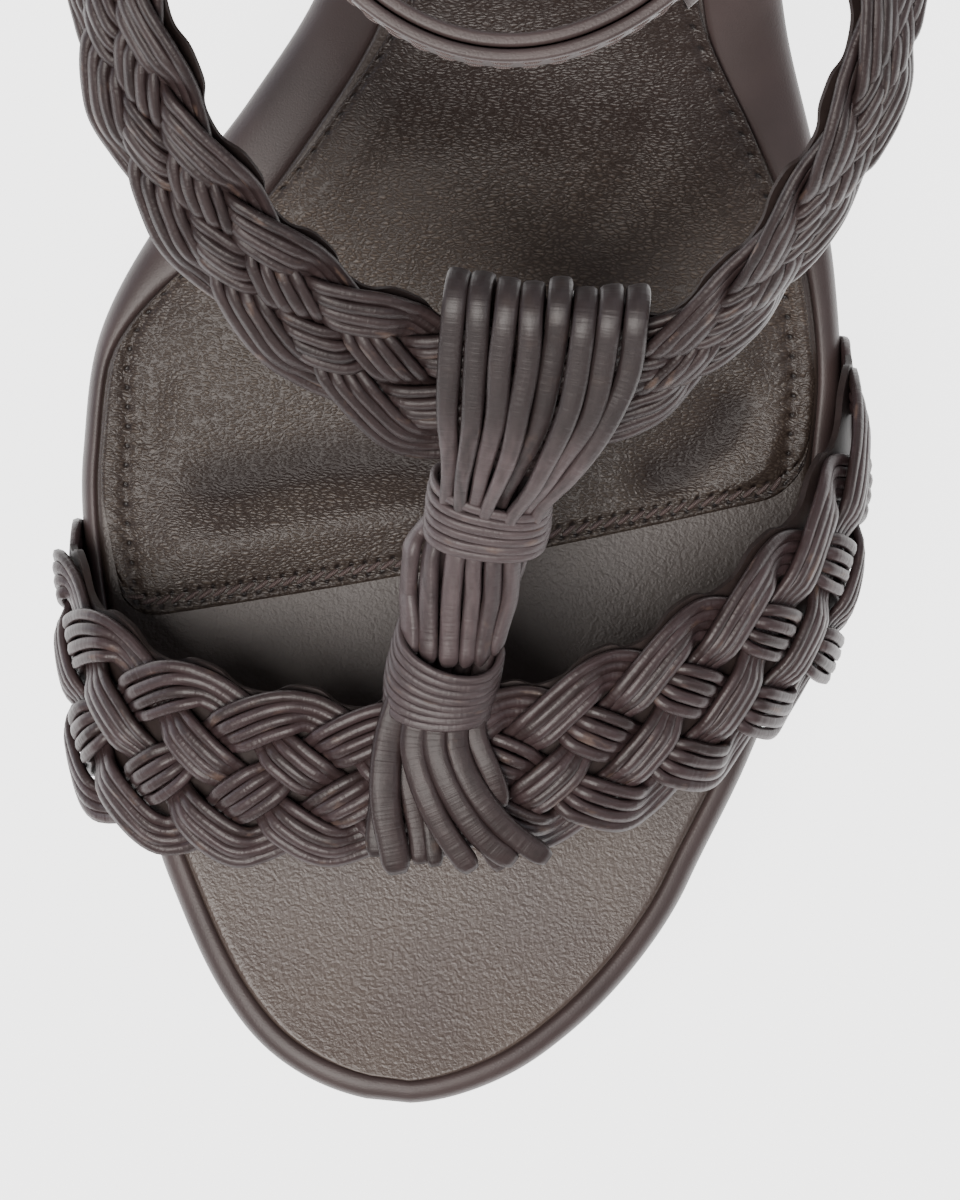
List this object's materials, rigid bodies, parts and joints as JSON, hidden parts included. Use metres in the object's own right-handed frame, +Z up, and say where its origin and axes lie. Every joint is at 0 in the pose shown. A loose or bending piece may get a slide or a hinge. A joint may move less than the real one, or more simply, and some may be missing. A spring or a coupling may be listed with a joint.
{
  "type": "platform sandal",
  "caption": "Left platform sandal on a covered block heel, with plaited toe and V straps joined by corded loops, a bound stem and a tassel.",
  "frame": {"origin": "middle of the shoe's bounding box, on the floor plane that the forefoot and the heel stand on", "axes": "-Y points to the toes, +Y to the heel, +X to the outer (lateral) side of the left foot, +Z up"},
  "size_m": [0.0982, 0.2278, 0.1747],
  "materials": {
    "outsole": "matt moulded sheet, dark brown",
    "platform": "smooth calf cover, semi-gloss, dark mauve brown",
    "heel": "smooth calf cover over the block, semi-gloss, dark mauve brown",
    "heel_top_piece": "matt hard rubber",
    "insole": "smooth glossy rim round a finely grained nappa panel",
    "sock": "padded grained nappa, stitched round its edge",
    "upper": "round leather cords, plaited, semi-gloss, mauve brown",
    "tassel": "loose ends of the same leather cords",
    "buckle": "aged, brushed"
  },
  "bodies": {
    "root": {"outsole": "outsole", "platform": "platform", "heel": "heel", "heel_top_piece": "heel_top_piece", "insole": "insole", "sock": "sock", "upper": "upper", "tassel": "tassel", "buckle": "buckle"}
  },
  "joints": []
}
